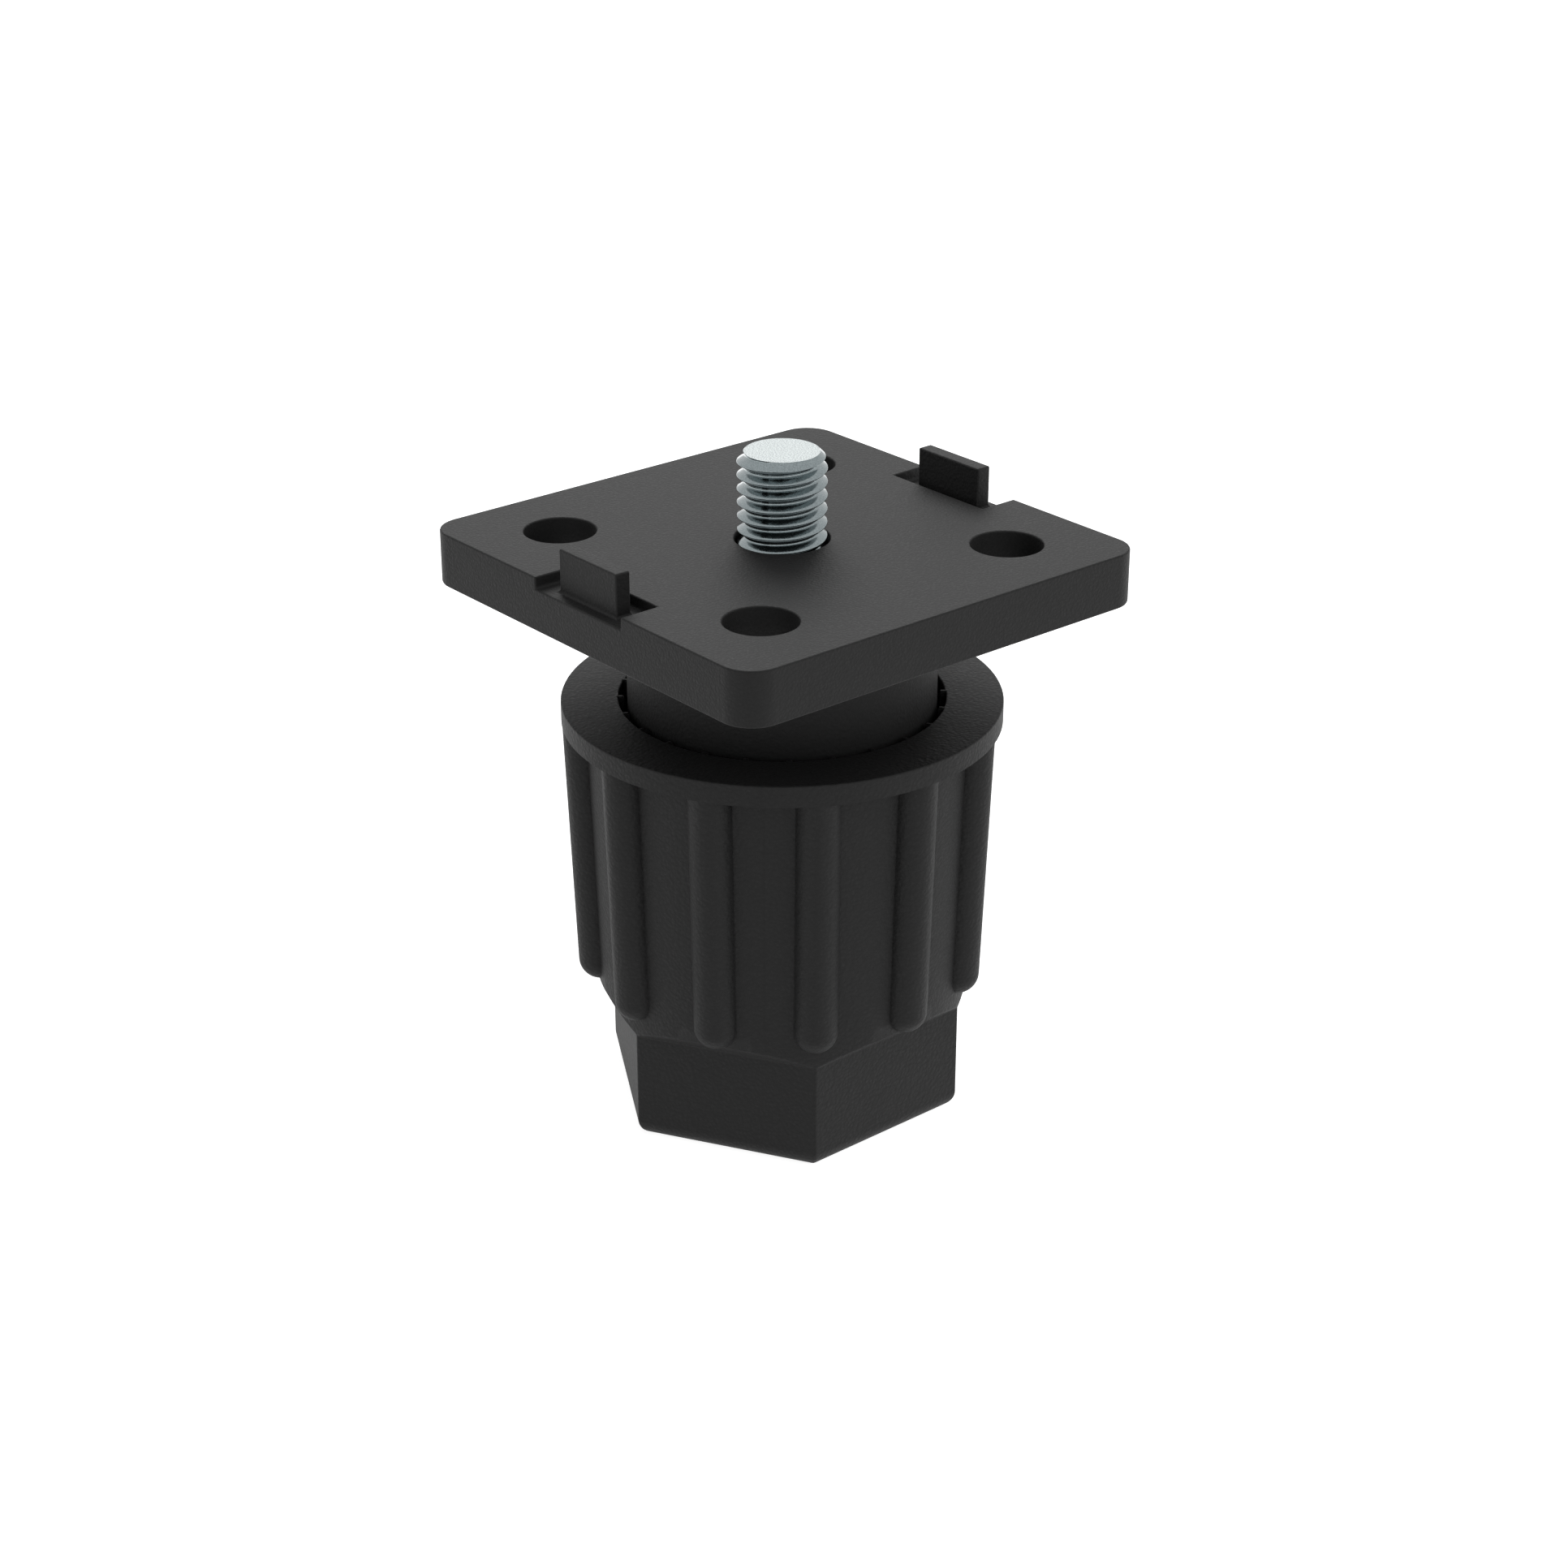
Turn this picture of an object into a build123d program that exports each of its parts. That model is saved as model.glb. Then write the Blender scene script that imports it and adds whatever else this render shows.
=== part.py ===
from build123d import *
import os
from math import cos, radians, tan

# Adjustable cabinet leg: a square plate with a spigot, a ribbed foot with a hexagonal base, and the
# threaded stud and bush between them. Millimetres, +Z up, origin under the centre of the foot.

# Fits and running clearances
thread_clearance = 0.05       # stud in the bush, radial
insert_clearance = 0.05       # round the bush, and round the stud's moulded-in end
stud_clearance = 0.25         # stud in the plate's own hole, radial
spigot_clearance = 0.3        # spigot inside the tips of the foot's inner ribs, radial
end_clearance = 0.5           # left under the spigot when the foot meets the plate

# Mounting plate
plate_side = 45.0
plate_thickness = 5.0
plate_corner_radius = 3.0
screw_spacing = 28.0
screw_hole_diameter = 6.5

# Locating tabs, each standing in its own shallow notch in the plate's edge
notch_width = 12.0
notch_reach = 3.9             # inwards from the plate's side
notch_depth = 1.1
tab_width = 8.0
tab_thickness = 1.5
tab_height = 4.0              # from the notch's floor
tab_inset = 1.15              # from the plate's side to the tab's outer face

# Spigot, with a hub inside it that holds the bush
spigot_wall = 2.0
spigot_lead_in = 0.8
hub_wall = 1.8
web_thickness = 1.2
web_count = 4

# Threaded bush, moulded into the hub
bush_wall = 2.0
bush_length = 10.0
bush_cover = 8.0              # from the plate's top to the bush
bush_groove_depth = 0.7
bush_groove_width = 1.4

# Adjusting stud: an M8 x 55 hexagon head screw, head moulded into the foot
stud_diameter = 8.0
stud_length = 55.0
stud_chamfer = 0.65
head_across_flats = 13.0
head_height = 5.3
head_cover = 2.7              # plastic under the head

# Foot's hexagonal base
hexagon_across_flats = 30.0
hexagon_height = 10.8
hexagon_bottom_radius = 1.8
shoulder_slope = 39.4         # degrees from level, over each flat

# Foot's round body and collar
foot_height = 40.0
body_overhang = 0.03          # body's radius beyond the hexagon's corners
body_draft = 1.7              # degrees
collar_overhang = 1.84        # beyond the top of the body
collar_band = 2.0

# Foot's outer ribs
outer_rib_count = 12
outer_rib_radius = 2.0
outer_rib_draft = 2.0         # degrees
outer_rib_end = 12.6          # lowest point of a rib, above the floor
outer_rib_seat = 0.3          # how far a rib runs up into the collar

# Foot's cup and the fine ribs that centre the spigot in it
cup_wall = 2.55               # from the cup to the outside, at the foot of the body
cup_rise = 1.2                # cup's floor above the hexagon
inner_rib_count = 24
inner_rib_width = 0.5
inner_rib_reach = 0.5

# How far the foot stands wound out, from its collar to the plate
plate_gap = 10.0

# Heights above the floor
cup_floor = hexagon_height + cup_rise
collar_underside = foot_height - collar_band
plate_underside = foot_height + plate_gap
plate_top = plate_underside + plate_thickness
notch_floor = plate_top - notch_depth
spigot_end = plate_underside - (foot_height - cup_floor) + end_clearance
bush_top = plate_top - bush_cover
bush_bottom = bush_top - bush_length
head_top = head_cover + head_height
stud_top = head_top + stud_length

# Radii, from the hexagon inwards to the spigot and outwards to the collar
hexagon_apothem = hexagon_across_flats / 2
hexagon_corner = hexagon_apothem / cos(radians(30))
body_low_radius = hexagon_corner + body_overhang
body_high_radius = body_low_radius + (collar_underside - hexagon_height) * tan(radians(body_draft))
collar_radius = body_high_radius + collar_overhang
cup_radius = body_low_radius - cup_wall
inner_rib_tip = cup_radius - inner_rib_reach
spigot_radius = inner_rib_tip - spigot_clearance

# Radii, from the stud outwards to the hub
stud_radius = stud_diameter / 2
stud_hole_radius = stud_radius + stud_clearance
bush_bore_radius = stud_radius + thread_clearance
bush_radius = bush_bore_radius + bush_wall
hub_radius = bush_radius + insert_clearance + hub_wall


# Half section of the bush with its two holding grooves, or of the pocket a clearance larger
def bush_outline(clearance):
    rim = bush_radius + clearance
    waist = rim - bush_groove_depth
    half_groove = bush_groove_width / 2 - clearance
    points = [(0, bush_bottom - clearance), (rim, bush_bottom - clearance)]
    for share in (1 / 3, 2 / 3):
        middle = bush_bottom + share * bush_length
        points += [(rim, middle - half_groove), (waist, middle - half_groove)]
        points += [(waist, middle + half_groove), (rim, middle + half_groove)]
    return points + [(rim, bush_top + clearance), (0, bush_top + clearance)]


# Mounting plate: one moulding of plate, tabs, spigot and hub
notch_middle = (plate_side - notch_reach) / 2
tab_middle = (plate_side - tab_thickness) / 2 - tab_inset
with BuildPart() as mounting_plate:
    with BuildSketch(Plane.XY.offset(plate_underside)):
        RectangleRounded(plate_side, plate_side, plate_corner_radius)
    extrude(amount=plate_thickness)
    with BuildSketch(Plane.XY.offset(notch_floor)):
        with Locations((0, notch_middle), (0, -notch_middle)):
            Rectangle(notch_width, notch_reach)
    extrude(amount=notch_depth, mode=Mode.SUBTRACT)
    with BuildSketch(Plane.XY.offset(notch_floor)):
        with Locations((0, tab_middle), (0, -tab_middle)):
            Rectangle(tab_width, tab_thickness)
    extrude(amount=tab_height)
    # Spigot tube, hub and the webs between them, all rooted in the plate's underside
    with BuildSketch(Plane.XY.offset(spigot_end)):
        Circle(spigot_radius)
        Circle(spigot_radius - spigot_wall, mode=Mode.SUBTRACT)
        with PolarLocations(spigot_radius / 2, web_count):
            Rectangle(spigot_radius - spigot_wall, web_thickness)
        Circle(hub_radius)
    extrude(amount=plate_underside - spigot_end)
    lowest_rims = mounting_plate.edges().filter_by(GeomType.CIRCLE).group_by(Axis.Z)[0]
    chamfer(lowest_rims.group_by(SortBy.RADIUS)[-1], length=spigot_lead_in)
    # Screw holes
    with BuildSketch(Plane.XY.offset(plate_underside)):
        with GridLocations(screw_spacing, screw_spacing, 2, 2):
            Circle(screw_hole_diameter / 2)
    extrude(amount=plate_thickness, mode=Mode.SUBTRACT)
    # Way for the stud, right through, and the pocket round the bush
    with BuildSketch(Plane.XY.offset(spigot_end)):
        Circle(stud_hole_radius)
    extrude(amount=plate_top - spigot_end, mode=Mode.SUBTRACT)
    with BuildSketch(Plane.XZ):
        with BuildLine():
            Polyline(*bush_outline(insert_clearance), close=True)
        make_face()
    revolve(axis=Axis.Z, mode=Mode.SUBTRACT)
mounting_plate.part.label = "mounting_plate"

# Threaded bush: a round metal insert; its thread is a plain bore
with BuildPart() as threaded_bush:
    with BuildSketch(Plane.XZ):
        with BuildLine():
            Polyline(*bush_outline(0), close=True)
        make_face()
    revolve(axis=Axis.Z)
    with BuildSketch(Plane.XY.offset(bush_bottom)):
        Circle(bush_bore_radius)
    extrude(amount=bush_length, mode=Mode.SUBTRACT)
threaded_bush.part.label = "threaded_bush"

# Adjusting stud: hexagon head below, shank up through the foot, the bush and the plate
with BuildPart() as adjusting_stud:
    with BuildSketch(Plane.XY.offset(head_cover)):
        RegularPolygon(head_across_flats / 2, 6, major_radius=False)
    extrude(amount=head_height)
    with BuildSketch(Plane.XY.offset(head_top)):
        Circle(stud_radius)
    extrude(amount=stud_length)
    chamfer(adjusting_stud.edges().group_by(Axis.Z)[-1], length=stud_chamfer)
adjusting_stud.part.label = "adjusting_stud"

# One outer rib: half round, leaning with its draft, its crest flush with the collar at the top
# and its lower end a quarter ball
rib_low = outer_rib_end + outer_rib_radius
rib_high = collar_underside + outer_rib_seat
rib_axis_high = collar_radius - outer_rib_radius
rib_axis_low = rib_axis_high - (rib_high - rib_low) * tan(radians(outer_rib_draft))
rib_start = Vector(rib_axis_low, 0, rib_low)
rib_run = Vector(rib_axis_high, 0, rib_high) - rib_start
with BuildPart() as outer_rib:
    with BuildSketch(Plane(origin=rib_start, x_dir=rib_run, z_dir=(0, 1, 0))):
        with BuildLine():
            CenterArc((0, 0), outer_rib_radius, 90, 90)
            Polyline(
                (-outer_rib_radius, 0),
                (rib_run.length, 0),
                (rib_run.length, outer_rib_radius),
                (0, outer_rib_radius),
            )
        make_face()
    revolve(axis=Axis(rib_start, rib_run))

# Envelope that trims the round body: a hexagon, then a sloping shoulder over each flat
shoulder_spread = (collar_underside - hexagon_height) / tan(radians(shoulder_slope))
with BuildPart() as hexagon_envelope:
    with BuildSketch(Plane.XY):
        RegularPolygon(hexagon_apothem, 6, major_radius=False, rotation=30)
    extrude(amount=hexagon_height)
    with BuildSketch(Plane.XY.offset(hexagon_height)):
        RegularPolygon(hexagon_apothem, 6, major_radius=False, rotation=30)
    with BuildSketch(Plane.XY.offset(collar_underside)):
        RegularPolygon(hexagon_apothem + shoulder_spread, 6, major_radius=False, rotation=30)
    loft()
    with BuildSketch(Plane.XY.offset(collar_underside)):
        Circle(collar_radius)
    extrude(amount=collar_band)

# Foot: one moulding of collar, ribbed body and hexagonal base, over the stud's head
with BuildPart() as foot:
    with BuildSketch(Plane.XZ):
        with BuildLine():
            Polyline(
                (0, 0),
                (body_low_radius, 0),
                (body_low_radius, hexagon_height),
                (body_high_radius, collar_underside),
                (collar_radius, collar_underside),
                (collar_radius, foot_height),
                (0, foot_height),
                close=True,
            )
        make_face()
    revolve(axis=Axis.Z)
    add(hexagon_envelope.part, mode=Mode.INTERSECT)
    fillet(foot.edges().group_by(Axis.Z)[0], radius=hexagon_bottom_radius)
    with PolarLocations(0, outer_rib_count):
        add(outer_rib.part)
    # Cup for the spigot, with fine upright ribs that centre it
    with BuildSketch(Plane.XY.offset(cup_floor)):
        Circle(cup_radius)
    extrude(amount=foot_height - cup_floor, mode=Mode.SUBTRACT)
    with BuildSketch(Plane.XY.offset(cup_floor)):
        with PolarLocations(cup_radius, inner_rib_count, start_angle=180 / inner_rib_count):
            Rectangle(2 * inner_rib_reach, inner_rib_width)
    extrude(amount=foot_height - cup_floor)
    # Space filled by the stud's head and shank
    with BuildSketch(Plane.XY.offset(head_cover - insert_clearance)):
        RegularPolygon(head_across_flats / 2 + insert_clearance, 6, major_radius=False)
    extrude(amount=head_height + 2 * insert_clearance, mode=Mode.SUBTRACT)
    with BuildSketch(Plane.XY.offset(head_top)):
        Circle(stud_radius + insert_clearance)
    extrude(amount=cup_floor - head_top, mode=Mode.SUBTRACT)
foot.part.label = "foot"

os.makedirs("parts", exist_ok=True)
for piece in (mounting_plate.part, threaded_bush.part, adjusting_stud.part, foot.part):
    export_step(piece, f"parts/{piece.label}.step")
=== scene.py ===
from math import cos, pi, radians, sin, tan

import bmesh
import bpy
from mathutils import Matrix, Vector


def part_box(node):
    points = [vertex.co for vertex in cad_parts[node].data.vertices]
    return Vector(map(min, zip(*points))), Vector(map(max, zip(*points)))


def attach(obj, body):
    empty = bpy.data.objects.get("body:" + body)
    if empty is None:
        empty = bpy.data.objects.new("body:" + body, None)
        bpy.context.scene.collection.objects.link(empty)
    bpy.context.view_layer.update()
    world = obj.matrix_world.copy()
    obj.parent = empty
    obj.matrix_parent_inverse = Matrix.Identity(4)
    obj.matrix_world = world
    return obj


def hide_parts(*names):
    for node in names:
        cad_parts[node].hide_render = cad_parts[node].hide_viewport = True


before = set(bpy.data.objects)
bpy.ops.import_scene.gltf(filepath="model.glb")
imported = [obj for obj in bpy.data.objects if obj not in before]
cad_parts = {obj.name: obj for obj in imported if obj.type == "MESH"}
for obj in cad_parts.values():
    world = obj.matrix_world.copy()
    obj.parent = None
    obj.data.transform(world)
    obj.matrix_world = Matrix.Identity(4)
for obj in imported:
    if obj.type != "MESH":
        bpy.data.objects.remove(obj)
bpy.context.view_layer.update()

MM = 0.001
scene = bpy.context.scene

# Foot: one injection moulding in black glass-filled nylon, with a ribbed body, a collar and a
# hexagonal base. Its mould is spark eroded, which leaves a fine leather-like grain. The collar's top
# and the hexagon have small edge radii, which catch the light as thin lines.
foot_edge_radius = 0.16 * MM
foot_merge = 0.05 * MM            # vertices nearer than this are one
foot_grain_size = 0.34 * MM
foot_grain_height = 0.035 * MM
rim_height = 39.5 * MM            # the collar's top edges are above this
hexagon_reach = 12.5 * MM         # the hexagon and its shoulders are below this
flat_within = radians(0.3)        # faces this near to one plane become one
sharp_over = radians(29)          # edges that turn by more are rounded
smooth_under = radians(50)        # edges that turn by less are shaded smooth


def take_copy(node, name, merge):
    """A merged copy of a CAD node's mesh, selected and active, with its flat faces whole."""
    bpy.ops.object.select_all(action="DESELECT")
    piece = bpy.data.objects.new(name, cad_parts[node].data.copy())
    scene.collection.objects.link(piece)
    bpy.context.view_layer.objects.active = piece
    piece.select_set(True)
    piece.data.materials.clear()
    bpy.ops.object.mode_set(mode="EDIT")
    bpy.ops.mesh.select_all(action="SELECT")
    bpy.ops.mesh.customdata_custom_splitnormals_clear()
    bpy.ops.mesh.remove_doubles(threshold=merge)
    bpy.ops.mesh.dissolve_limited(angle_limit=flat_within)
    bpy.ops.object.mode_set(mode="OBJECT")
    return piece


def round_edges(piece, outer_radius, hollow_radius, chosen):
    """Rounds the chosen sharp edges, hollow corners by a radius of their own."""
    shape = bmesh.new()
    shape.from_mesh(piece.data)
    share = shape.edges.layers.float.new("bevel_weight_edge")
    for edge in shape.edges:
        if edge.calc_face_angle() > sharp_over and chosen(edge):
            edge[share] = outer_radius / hollow_radius if edge.is_convex else 1
    shape.to_mesh(piece.data)
    shape.free()
    rounding = piece.modifiers.new("edge radius", "BEVEL")
    rounding.limit_method = "WEIGHT"
    rounding.width = hollow_radius
    rounding.segments = 2
    rounding.use_clamp_overlap = False
    bpy.ops.object.modifier_apply(modifier=rounding.name)
    bpy.ops.object.shade_smooth_by_angle(angle=smooth_under)
    flatten = piece.modifiers.new("flat faces stay flat", "WEIGHTED_NORMAL")
    flatten.keep_sharp = True
    flatten.weight = 100
    bpy.ops.object.modifier_apply(modifier=flatten.name)


def linear(colour):
    """An sRGB hex colour as a linear RGBA value."""
    parts = [int(colour[i:i + 2], 16) / 255 for i in (1, 3, 5)]
    return [c / 12.92 if c <= 0.04045 else ((c + 0.055) / 1.055) ** 2.4 for c in parts] + [1]


def add_node(tree, kind, inputs=None, **settings):
    """Adds a node with its settings, and its inputs as values or as links from other nodes."""
    node = tree.nodes.new(kind)
    for name, value in settings.items():
        setattr(node, name, value)
    for name, value in (inputs or {}).items():
        if isinstance(value, bpy.types.NodeSocket):
            tree.links.new(value, node.inputs[name])
        else:
            node.inputs[name].default_value = value
    return node


def blank_material(name):
    """A new material with an empty node tree, and that tree."""
    material = bpy.data.materials.new(name)
    material.use_nodes = True
    material.node_tree.nodes.clear()
    return material, material.node_tree


def moulded_black_nylon(name, grain_size, grain_height):
    """Black nylon off a spark-eroded mould: matt, near black, with a fine leather-like grain that
    shows as a soft sparkle where light grazes it, and a faint mottle from the glass fibres."""
    mottle_size = 6 * MM
    material, tree = blank_material(name)
    place = add_node(tree, "ShaderNodeTexCoord").outputs["Object"]
    wander = add_node(tree, "ShaderNodeTexNoise", {
        "Vector": place, "Scale": 1 / grain_size, "Detail": 2,
    })
    cells = add_node(tree, "ShaderNodeTexVoronoi", {
        "Vector": place, "Scale": 1 / grain_size, "Smoothness": 0.6,
    }, feature="SMOOTH_F1")
    height = add_node(tree, "ShaderNodeMath", {
        0: wander.outputs["Fac"], 1: cells.outputs["Distance"],
    }, operation="ADD")
    bump = add_node(tree, "ShaderNodeBump", {
        "Height": height.outputs["Value"], "Distance": grain_height, "Strength": 1.0,
    })
    mottle = add_node(tree, "ShaderNodeTexNoise", {
        "Vector": place, "Scale": 1 / mottle_size, "Detail": 3,
    })
    tint = add_node(tree, "ShaderNodeMix", {
        "Factor": mottle.outputs["Fac"], "A": linear("#181818"), "B": linear("#1c1c1c"),
    }, data_type="RGBA")
    rough = add_node(tree, "ShaderNodeMapRange", {
        "Value": height.outputs["Value"], "To Min": 0.5, "To Max": 0.62,
    })
    shader = add_node(tree, "ShaderNodeBsdfPrincipled", {
        "Base Color": tint.outputs["Result"], "Roughness": rough.outputs["Result"],
        "Normal": bump.outputs["Normal"], "IOR": 1.45, "Specular IOR Level": 0.3,
    })
    add_node(tree, "ShaderNodeOutputMaterial", {"Surface": shader.outputs["BSDF"]})
    return material


def on_rim_or_hexagon(edge):
    """True for the collar's top edges and the hexagon's, which show the mould's small radius."""
    heights = [vertex.co.z for vertex in edge.verts]
    return min(heights) > rim_height or max(heights) < hexagon_reach


foot = take_copy("foot", "foot_moulding", foot_merge)
round_edges(foot, foot_edge_radius, foot_edge_radius, on_rim_or_hexagon)
foot.data.materials.append(
    moulded_black_nylon("coarse_moulded_nylon", foot_grain_size, foot_grain_height)
)
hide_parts("foot")
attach(foot, "foot")

# Mounting plate: one moulding in the same nylon, with the spigot and the hub under it. The tabs
# stand in shallow notches, and all its edges have the mould's small radius, a larger one in the
# hollow corners. Its grain is finer than the foot's.
plate_edge_radius = 0.16 * MM
plate_hollow_radius = 0.3 * MM
plate_merge = 0.002 * MM
plate_grain_size = 0.26 * MM
plate_grain_height = 0.025 * MM
plate = take_copy("mounting_plate", "plate_moulding", plate_merge)
round_edges(plate, plate_edge_radius, plate_hollow_radius, chosen=lambda edge: True)
plate.data.materials.append(
    moulded_black_nylon("fine_moulded_nylon", plate_grain_size, plate_grain_height)
)
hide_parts("mounting_plate")
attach(plate, "plate")

# Adjusting stud: a fully threaded M8 hexagon head screw in zinc-plated steel, with its head moulded
# into the foot. The thread is rolled, so its crests and roots are rounded, and the end is cropped
# and chamfered before plating.
stud_low, stud_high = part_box("adjusting_stud")
stud_radius = 4.0 * MM
thread_pitch = 1.25 * MM
thread_flank = radians(30)
thread_crest_flat = 0.10 * MM
thread_crest_radius = 0.04 * MM
thread_root_radius = 0.26 * MM
thread_start = 0.77 * MM          # height of a crest over the head, at angle 0
thread_steps = 64                 # in one turn
turns_in_head = 3                 # wound below the head's top, and hidden in it
turns_cut_off = 1                 # wound past the tip, and trimmed
stud_tip_radius = 3.35 * MM
stud_smooth_under = radians(28)
head_height = 5.3 * MM
head_face_radius = 6.2 * MM       # of the flat underneath, inside the chamfer
head_chamfer = radians(30)
hair = 0.001 * MM                 # places nearer than this are the same


def select_vertices(piece, chosen):
    """In edit mode, selects the vertices at the chosen places and no others."""
    bpy.ops.mesh.select_all(action="DESELECT")
    bpy.ops.mesh.select_mode(type="VERT")
    bpy.ops.object.mode_set(mode="OBJECT")
    for vertex in piece.data.vertices:
        vertex.select = chosen(vertex.co)
    bpy.ops.object.mode_set(mode="EDIT")


def combine(piece, other, operation):
    """Trims a piece to another solid or joins the two, and deletes the other."""
    step = piece.modifiers.new("combine", "BOOLEAN")
    step.operation = operation
    step.object = other
    step.solver = "EXACT"
    bpy.context.view_layer.objects.active = piece
    bpy.ops.object.modifier_apply(modifier=step.name)
    bpy.data.objects.remove(other)


head_top = stud_low.z + head_height
flank_rise = (thread_pitch - thread_crest_flat) / 2
flank_depth = flank_rise / tan(thread_flank)
profile_start = head_top + thread_start - turns_in_head * thread_pitch
profile_middle = profile_start + thread_pitch / 2
turns_shown = round((stud_high.z - head_top) / thread_pitch)

# One pitch of the thread's profile, from crest to crest, which the screw modifier winds up
bpy.ops.object.select_all(action="DESELECT")
bpy.ops.mesh.primitive_plane_add(size=thread_pitch)
stud = bpy.context.object
stud.name = "adjusting_screw"
bpy.ops.object.mode_set(mode="EDIT")
bpy.ops.mesh.merge(type="CENTER")
bpy.ops.transform.translate(value=(stud_radius, 0, profile_start))
for step in (
    (0, 0, thread_crest_flat / 2),
    (-flank_depth, 0, flank_rise),
    (flank_depth, 0, flank_rise),
    (0, 0, thread_crest_flat / 2),
):
    bpy.ops.mesh.extrude_region_move(TRANSFORM_OT_translate={"value": step})
select_vertices(stud, lambda place: place.x < stud_radius - flank_depth / 2)
bpy.ops.mesh.bevel(offset=thread_root_radius / tan(thread_flank), segments=6, affect="VERTICES")
select_vertices(stud, lambda place: abs(abs(place.z - profile_middle) - flank_rise) < hair)
bpy.ops.mesh.bevel(offset=thread_crest_radius, segments=2, affect="VERTICES")
bpy.ops.object.mode_set(mode="OBJECT")
winding = stud.modifiers.new("thread", "SCREW")
winding.screw_offset = thread_pitch
winding.iterations = turns_in_head + turns_shown + turns_cut_off
winding.steps = winding.render_steps = thread_steps
bpy.ops.object.modifier_apply(modifier=winding.name)

# Both ends are closed, so that the wound thread is a solid
bpy.ops.object.mode_set(mode="EDIT")
bpy.ops.mesh.select_all(action="SELECT")
bpy.ops.mesh.remove_doubles(threshold=hair)
bpy.ops.mesh.normals_make_consistent(inside=False)
bpy.ops.mesh.select_all(action="DESELECT")
bpy.ops.mesh.select_non_manifold()
bpy.ops.mesh.edge_face_add()
bpy.ops.mesh.select_mode(type="FACE")
bpy.ops.mesh.poke()
bpy.ops.mesh.select_all(action="SELECT")
bpy.ops.mesh.normals_make_consistent(inside=False)
bpy.ops.object.mode_set(mode="OBJECT")

# Trimmed to length by a 45 degree cone, which gives the end its flat and its chamfer
trim_depth = stud_high.z - head_top + head_height / 2
bpy.ops.mesh.primitive_cone_add(
    vertices=2 * thread_steps, radius1=stud_tip_radius + trim_depth, radius2=stud_tip_radius,
    depth=trim_depth, location=(0, 0, stud_high.z - trim_depth / 2),
)
combine(stud, bpy.context.object, "INTERSECT")

# Hexagon head, its outer corners chamfered by a flatter cone
head_across_flats = stud_high.y - stud_low.y
head_middle = head_top - head_height / 2
bpy.ops.mesh.primitive_cylinder_add(
    vertices=6, radius=head_across_flats / 2 / cos(pi / 6), depth=head_height,
    location=(0, 0, head_middle), rotation=(0, 0, pi / 6),
)
head = bpy.context.object
bpy.ops.mesh.primitive_cone_add(
    vertices=thread_steps, radius1=head_face_radius,
    radius2=head_face_radius + head_height / tan(head_chamfer), depth=head_height,
    location=(0, 0, head_middle),
)
combine(head, bpy.context.object, "INTERSECT")
combine(stud, head, "UNION")
bpy.context.view_layer.objects.active = stud
stud.select_set(True)
bpy.ops.object.shade_smooth_by_angle(angle=stud_smooth_under)


def zinc_plated_steel(name, dark, pale, roughness, grain_size, grain_height):
    """Bright zinc on steel: a cool grey metal with a slight blue cast, whose fine crystals break its
    gloss into faint speckles. The rougher the steel under it, the paler and more matt it looks."""
    material, tree = blank_material(name)
    place = add_node(tree, "ShaderNodeTexCoord").outputs["Object"]
    grain = add_node(tree, "ShaderNodeTexNoise", {
        "Vector": place, "Scale": 1 / grain_size, "Detail": 2, "Roughness": 0.6,
    })
    spread = add_node(tree, "ShaderNodeMapRange", {
        "Value": grain.outputs["Fac"], "From Min": 0.35, "From Max": 0.65,
    })
    tint = add_node(tree, "ShaderNodeMix", {
        "Factor": spread.outputs["Result"], "A": linear(dark), "B": linear(pale),
    }, data_type="RGBA")
    bump = add_node(tree, "ShaderNodeBump", {
        "Height": grain.outputs["Fac"], "Distance": grain_height, "Strength": 1.0,
    })
    rough = add_node(tree, "ShaderNodeMapRange", {
        "Value": spread.outputs["Result"], "To Min": roughness - 0.05, "To Max": roughness + 0.05,
    })
    shader = add_node(tree, "ShaderNodeBsdfPrincipled", {
        "Base Color": tint.outputs["Result"], "Metallic": 1.0, "Roughness": rough.outputs["Result"],
        "Normal": bump.outputs["Normal"],
    })
    add_node(tree, "ShaderNodeOutputMaterial", {"Surface": shader.outputs["BSDF"]})
    return material


plating_grain_size = 0.12 * MM
rolled_grain_height = 0.004 * MM
cropped_grain_height = 0.02 * MM
stud.data.materials.append(zinc_plated_steel(
    "bright_zinc_plating", "#798284", "#8e9799", 0.12, plating_grain_size, rolled_grain_height,
))
stud.data.materials.append(zinc_plated_steel(
    "cropped_end_zinc_plating", "#767c7c", "#c0c5c5", 0.45, plating_grain_size, cropped_grain_height,
))
for face in stud.data.polygons:
    if face.center.z > stud_high.z - hair:
        face.material_index = 1
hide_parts("adjusting_stud")
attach(stud, "foot")

# Threaded bush: a turned brass insert, moulded into the plate's hub, where its two grooves hold it.
# It stays as the CAD has it. Its brass is warm and plainly glossy, and fine rings from the turning
# tool run round it and draw its highlights out lengthwise.
turning_pitch = 0.15 * MM
turning_depth = 0.004 * MM
bands_per_metre = 20 / (2 * pi)   # in the Wave texture, at scale 1
turned_brass, tree = blank_material("turned_brass")
place = add_node(tree, "ShaderNodeTexCoord").outputs["Object"]
rings = add_node(tree, "ShaderNodeTexWave", {
    "Vector": place, "Scale": 1 / (turning_pitch * bands_per_metre), "Distortion": 1.5, "Detail": 2,
}, bands_direction="Z")
bump = add_node(tree, "ShaderNodeBump", {"Height": rings.outputs["Fac"], "Distance": turning_depth})
tint = add_node(tree, "ShaderNodeMix", {
    "Factor": rings.outputs["Fac"], "A": linear("#b8934a"), "B": linear("#cfab62"),
}, data_type="RGBA")
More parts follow.
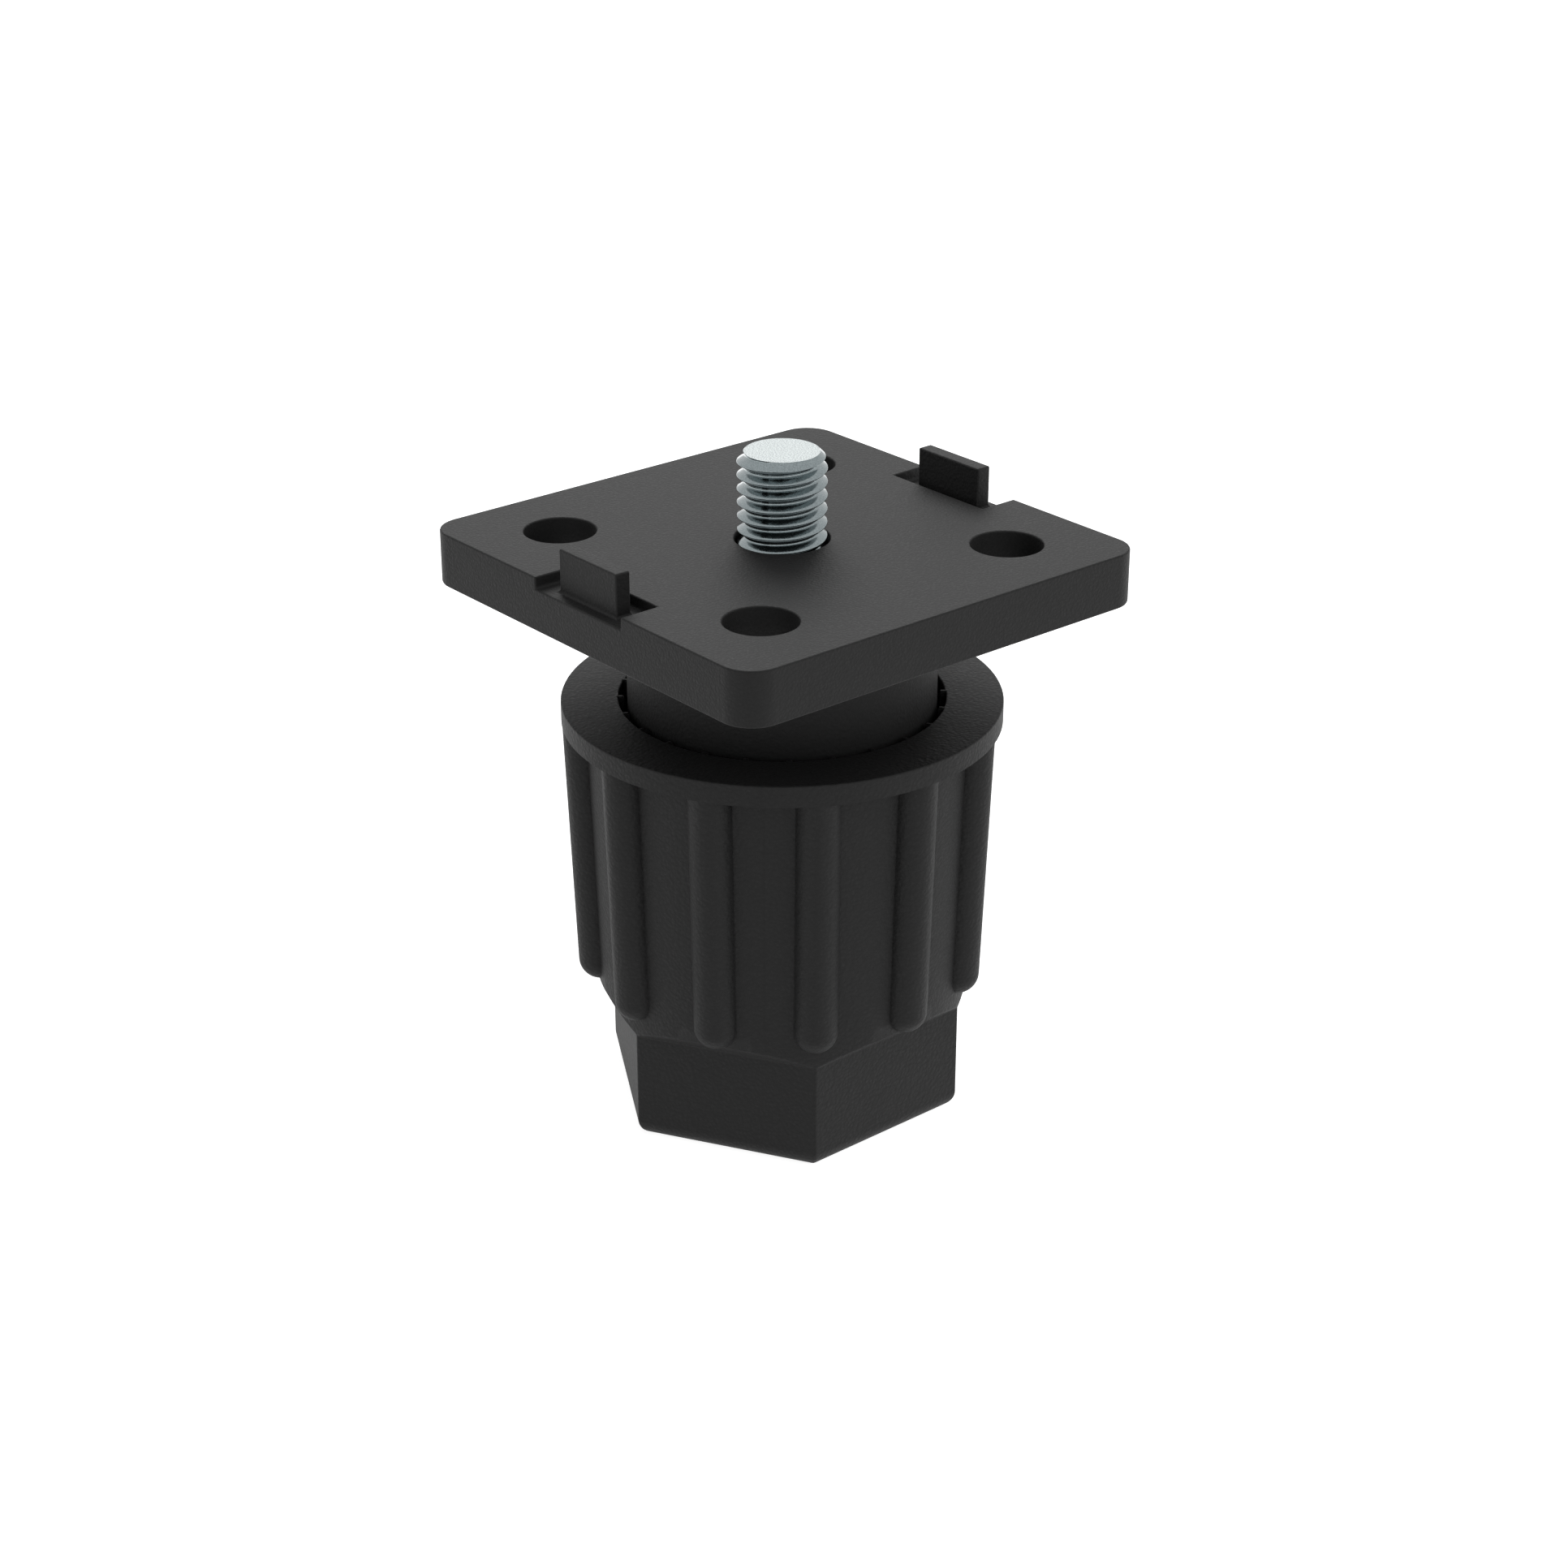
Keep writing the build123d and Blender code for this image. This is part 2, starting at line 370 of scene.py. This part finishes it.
rough = add_node(tree, "ShaderNodeMapRange", {
    "Value": rings.outputs["Fac"], "To Min": 0.25, "To Max": 0.35,
})
shader = add_node(tree, "ShaderNodeBsdfPrincipled", {
    "Base Color": tint.outputs["Result"], "Metallic": 1.0, "Roughness": rough.outputs["Result"],
    "Normal": bump.outputs["Normal"],
})
add_node(tree, "ShaderNodeOutputMaterial", {"Surface": shader.outputs["BSDF"]})
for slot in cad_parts["threaded_bush"].material_slots:
    slot.material = turned_brass

# Floor and backdrop: a white paper sweep, as in a studio. A wide plane is the floor and the world is
# the rest of it. The paper is plain matt white, and a glow that only the camera, a gloss or glass sees
# lifts it to the backdrop's white.
floor_side = 6000 * MM
paper_glow = 0.9


def seen_directly(tree):
    """1 for rays from the camera, a gloss or glass, and 0 for those that carry light to a surface."""
    path = add_node(tree, "ShaderNodeLightPath")
    seen = path.outputs["Is Camera Ray"]
    for kind in ("Is Glossy Ray", "Is Transmission Ray"):
        either = add_node(tree, "ShaderNodeMath", {0: seen, 1: path.outputs[kind]}, operation="MAXIMUM")
        seen = either.outputs["Value"]
    return seen


bpy.ops.mesh.primitive_plane_add(size=floor_side, location=(0, 0, 0))
floor = bpy.context.object
floor.name = "floor"
paper, tree = blank_material("white_paper_sweep")
matt = add_node(tree, "ShaderNodeBsdfDiffuse", {"Color": linear("#f0f0f0")})
glow_strength = add_node(tree, "ShaderNodeMath", {
    0: seen_directly(tree), 1: paper_glow,
}, operation="MULTIPLY")
glow = add_node(tree, "ShaderNodeEmission", {
    "Color": linear("#ffffff"), "Strength": glow_strength.outputs["Value"],
})
both = add_node(tree, "ShaderNodeAddShader", {0: matt.outputs["BSDF"], 1: glow.outputs["Emission"]})
add_node(tree, "ShaderNodeOutputMaterial", {"Surface": both.outputs["Shader"]})
floor.data.materials.append(paper)

# Light: a soft sky that is brightest to the right of the camera and overhead, and one large soft lamp
# above and behind the leg. Seen directly or in a gloss, the surroundings are a white backdrop.
sky_level = -0.4                  # the sky's strength straight across its slope
sky_slope = Vector((0.97, 0.72, 1.09))
sky_least = 0.02
world = bpy.data.worlds.new("studio")
scene.world = world
world.use_nodes = True
tree = world.node_tree
tree.nodes.clear()
direction = add_node(tree, "ShaderNodeTexCoord").outputs["Generated"]
slope = add_node(tree, "ShaderNodeVectorMath", {0: direction, 1: sky_slope}, operation="DOT_PRODUCT")
level = add_node(tree, "ShaderNodeMath", {0: slope.outputs["Value"], 1: sky_level}, operation="ADD")
sky_light = add_node(tree, "ShaderNodeMath", {
    0: level.outputs["Value"], 1: sky_least,
}, operation="MAXIMUM")
strength = add_node(tree, "ShaderNodeMix", {
    "Factor": seen_directly(tree), "A": sky_light.outputs["Value"], "B": 1.0,
})
sky = add_node(tree, "ShaderNodeBackground", {
    "Color": linear("#ffffff"), "Strength": strength.outputs["Result"],
})
add_node(tree, "ShaderNodeOutputWorld", {"Surface": sky.outputs["Background"]})

lamp_target = Vector((0, 0, 30)) * MM
lamp_distance = 800 * MM
lamp_azimuth = radians(144)
lamp_elevation = radians(41)
lamp_size = 500 * MM
lamp_power = 1.8
toward_lamp = Vector((
    cos(lamp_elevation) * cos(lamp_azimuth),
    cos(lamp_elevation) * sin(lamp_azimuth),
    sin(lamp_elevation),
))
bpy.ops.object.light_add(type="AREA", location=lamp_target + lamp_distance * toward_lamp)
lamp = bpy.context.object
lamp.name = "soft_lamp"
lamp.data.size = lamp_size
lamp.data.energy = lamp_power
lamp.rotation_euler = toward_lamp.to_track_quat("Z", "Y").to_euler()

# Camera: a short telephoto view, 25 degrees down on the leg and square in format. Its place, turn and
# lens are the photograph's, solved from the plate's outline.
camera_place = Vector((192.56, -161.28, 148.59)) * MM
camera_azimuth = radians(50.015)
camera_elevation = radians(25.105)
bpy.ops.object.camera_add(
    location=camera_place, rotation=(pi / 2 - camera_elevation, 0, camera_azimuth)
)
camera = bpy.context.object
camera.name = "camera"
camera.data.sensor_width = 36
camera.data.lens = 69.485
camera.data.clip_start = 10 * MM
camera.data.clip_end = 20000 * MM
scene.camera = camera

scene.view_settings.view_transform = "Standard"
